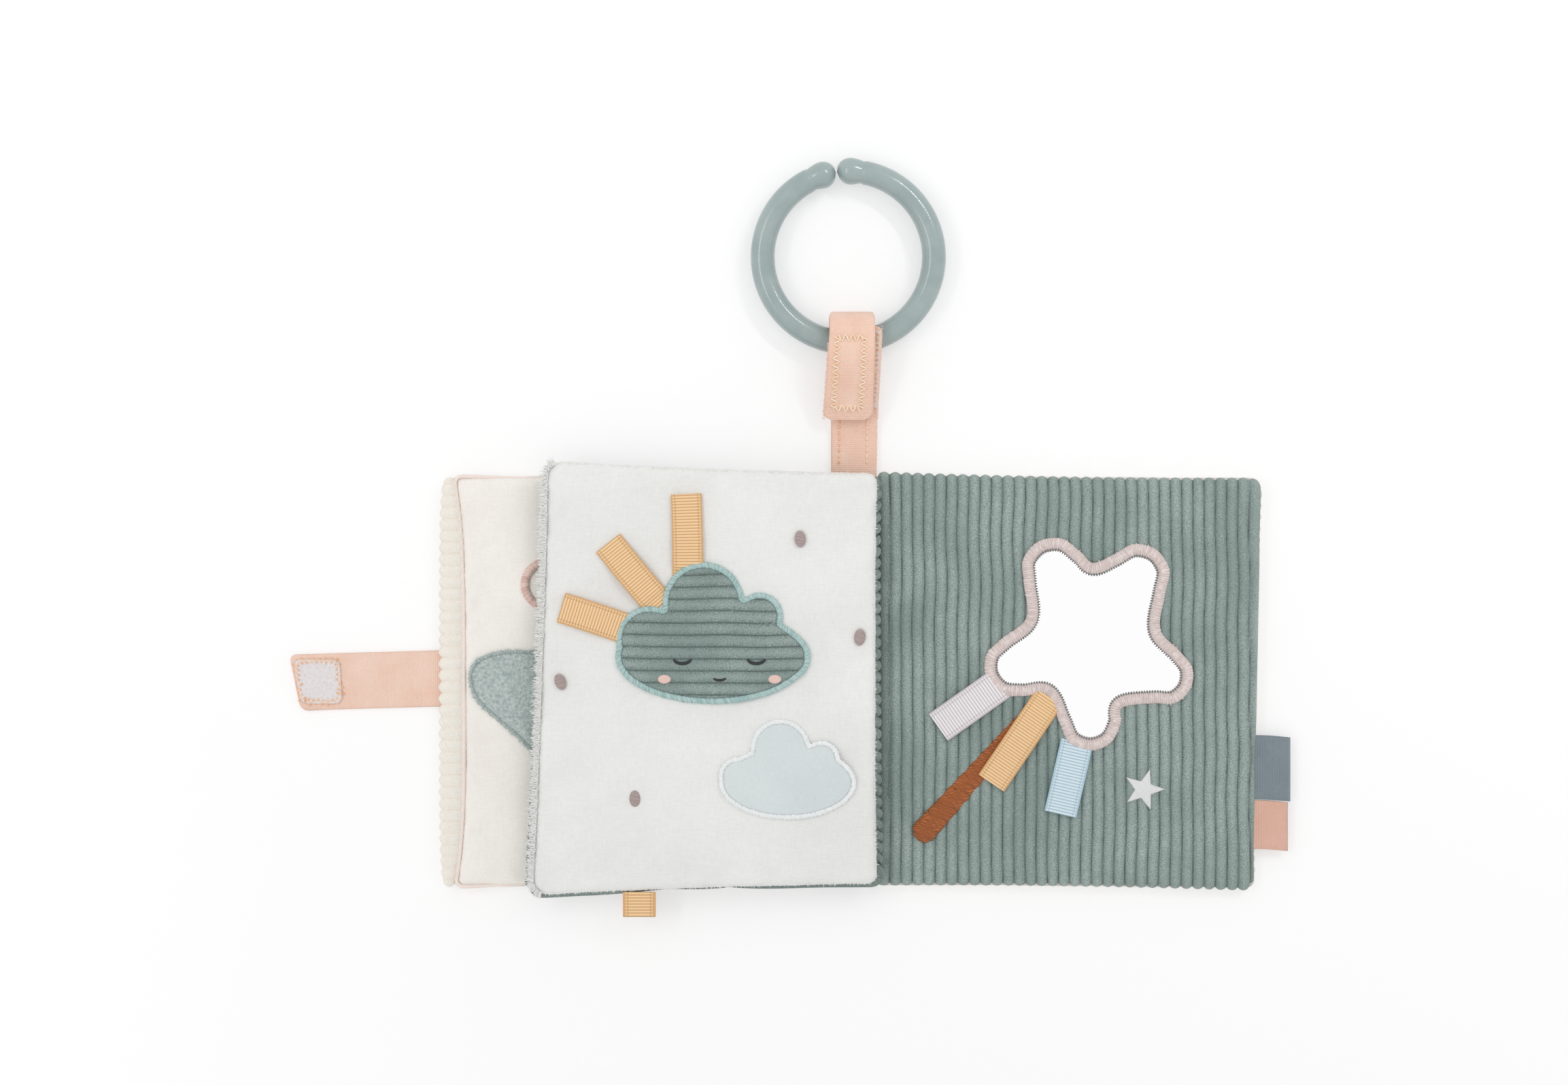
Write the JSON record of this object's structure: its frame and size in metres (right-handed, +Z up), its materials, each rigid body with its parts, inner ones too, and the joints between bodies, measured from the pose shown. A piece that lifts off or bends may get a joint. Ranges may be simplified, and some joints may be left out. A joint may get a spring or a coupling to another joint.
{
  "type": "baby activity book",
  "caption": "Soft padded activity book lying open: corduroy and velvet pages with applique shapes, ribbons and a star mirror, a closure strap, and a hanging strap with a split link ring.",
  "frame": {"origin": "middle of the back cover's underside, on the surface that the open book lies on", "axes": "+X to the right across the open book, +Y up the pages towards the link ring, +Z up out of the pages"},
  "size_m": [0.3623, 0.2735, 0.0171],
  "materials": {
    "sage_corduroy": "wide-wale corduroy, matt",
    "cream_corduroy": "wide-wale corduroy, matt",
    "white_velvet": "short-pile velvet, matt",
    "ivory_velvet": "short-pile velvet, matt",
    "pale_velvet": "short-pile velvet, matt",
    "wadding": "loose fibre wadding",
    "peach_ribbon": "fine twill ribbon",
    "ochre_ribbon": "grosgrain ribbon",
    "lilac_ribbon": "grosgrain ribbon",
    "blue_ribbon": "grosgrain ribbon",
    "brown_thread": "satin stitch",
    "blush_thread": "satin stitch",
    "white_thread": "satin stitch",
    "teal_thread": "satin stitch",
    "taupe_thread": "satin stitch",
    "grey_twill": "woven label tape, plain",
    "peach_twill": "woven label tape, plain",
    "hook_tape": "hook-and-loop tape",
    "mirror_film": "smooth mirror film",
    "ring_plastic": "smooth glossy plastic"
  },
  "bodies": {
    "back_cover": {"back_cover_page": "sage_corduroy", "back_cover_outer": "cream_corduroy", "back_cover_wadding": "wadding", "star_mirror": "mirror_film", "star_border": "blush_thread", "lilac_ribbon": "lilac_ribbon", "ochre_ribbon": "ochre_ribbon", "blue_ribbon": "blue_ribbon", "satin_stick": "brown_thread", "small_star": "white_thread", "closure_loop_patch": "hook_tape"},
    "grey_label": {"grey_label": "grey_twill"},
    "peach_label": {"peach_label": "peach_twill"},
    "spine": {"spine_outer": "cream_corduroy", "spine_lining": "sage_corduroy"},
    "binding": {"binding_cord": "white_thread"},
    "middle_leaf": {"middle_leaf_page": "white_velvet", "middle_leaf_back": "sage_corduroy", "middle_leaf_wadding": "wadding", "big_cloud": "sage_corduroy", "big_cloud_border": "teal_thread", "small_cloud": "pale_velvet", "small_cloud_border": "white_thread", "sun_ribbon_1": "ochre_ribbon", "sun_ribbon_2": "ochre_ribbon", "sun_ribbon_3": "ochre_ribbon", "stitched_dot_1": "taupe_thread", "stitched_dot_2": "taupe_thread", "stitched_dot_3": "taupe_thread", "stitched_dot_4": "taupe_thread"},
    "bottom_tag": {"bottom_tag": "ochre_ribbon"},
    "front_cover": {"front_cover_page": "ivory_velvet", "front_cover_outer": "cream_corduroy", "front_cover_wadding": "wadding", "front_cover_roll": "cream_corduroy", "front_cover_piping": "peach_ribbon", "sage_flap": "sage_corduroy", "pink_ring": "blush_thread", "closure_anchor": "peach_ribbon"},
    "closure_strap": {"closure_strap": "peach_ribbon"},
    "closure_tab": {"closure_tab": "peach_ribbon", "closure_hook_patch": "hook_tape"},
    "hanging_strap": {"hang_strap": "peach_ribbon", "hang_strap_front": "peach_ribbon", "hang_loop_patch": "hook_tape"},
    "hanging_flap": {"hang_flap": "peach_ribbon", "hang_hook_patch": "hook_tape"},
    "link_ring": {"link_ring": "ring_plastic"}
  },
  "joints": [
    {"name": "spine_fold", "type": "hinge", "parent": "back_cover", "child": "spine", "pos_m": [-0.0683, 0, 0.0035], "axis": [0, 1, 0], "range_deg": [0, 90]},
    {"name": "cover_fold", "type": "hinge", "parent": "spine", "child": "front_cover", "pos_m": [-0.0875, 0, 0.0035], "axis": [0, 1, 0], "range_deg": [0, 90]},
    {"name": "binding_fold", "type": "hinge", "parent": "spine", "child": "binding", "pos_m": [-0.0779, 0, 0.0131], "axis": [0, 1, 0], "range_deg": [0, 90]},
    {"name": "middle_leaf_turn", "type": "hinge", "parent": "binding", "child": "middle_leaf", "pos_m": [-0.0779, 0, 0.0131], "axis": [0, -1, 0], "range_deg": [-180, 0]},
    {"name": "bottom_tag_flex", "type": "hinge", "parent": "middle_leaf", "child": "bottom_tag", "pos_m": [-0.1551, -0.07598, 0.0121], "axis": [-1, 0, 0], "range_deg": [-45, 60], "stiffness_Nm_per_rad": 0.0002},
    {"name": "closure_strap_fold", "type": "hinge", "parent": "front_cover", "child": "closure_strap", "pos_m": [-0.2293, 0.0009, 0.0009], "axis": [0, 1, 0], "range_deg": [0, 90]},
    {"name": "closure_tab_fold", "type": "hinge", "parent": "closure_strap", "child": "closure_tab", "pos_m": [-0.2567, 0.0009, 0.0009], "axis": [0, 1, 0], "range_deg": [0, 90]},
    {"name": "hanging_strap_tilt", "type": "hinge", "parent": "spine", "child": "hanging_strap", "pos_m": [-0.0779, 0.0751, 0.0006], "axis": [-1, 0, 0], "range_deg": [-75, 0]},
    {"name": "link_ring_swing", "type": "hinge", "parent": "hanging_strap", "child": "link_ring", "pos_m": [-0.0799, 0.1224, 0.00585], "axis": [1, 0, 0], "range_deg": [-1, 110]},
    {"name": "hanging_flap_lift", "type": "hinge", "parent": "hanging_strap", "child": "hanging_flap", "pos_m": [-0.0791, 0.12396, 0.01649], "axis": [-1, 0, 0], "range_deg": [0, 100]},
    {"name": "grey_label_flex", "type": "hinge", "parent": "back_cover", "child": "grey_label", "pos_m": [0.0671, -0.031, 0.0035], "axis": [0, -1, 0], "range_deg": [-12, 60], "stiffness_Nm_per_rad": 0.001},
    {"name": "peach_label_flex", "type": "hinge", "parent": "back_cover", "child": "peach_label", "pos_m": [0.0667, -0.0517, 0.0035], "axis": [0, -1, 0], "range_deg": [-12, 60], "stiffness_Nm_per_rad": 0.001}
  ],
  "couplings": [
    {"joint": "cover_fold", "follows": "spine_fold", "ratio": 1},
    {"joint": "binding_fold", "follows": "spine_fold", "ratio": 1}
  ]
}
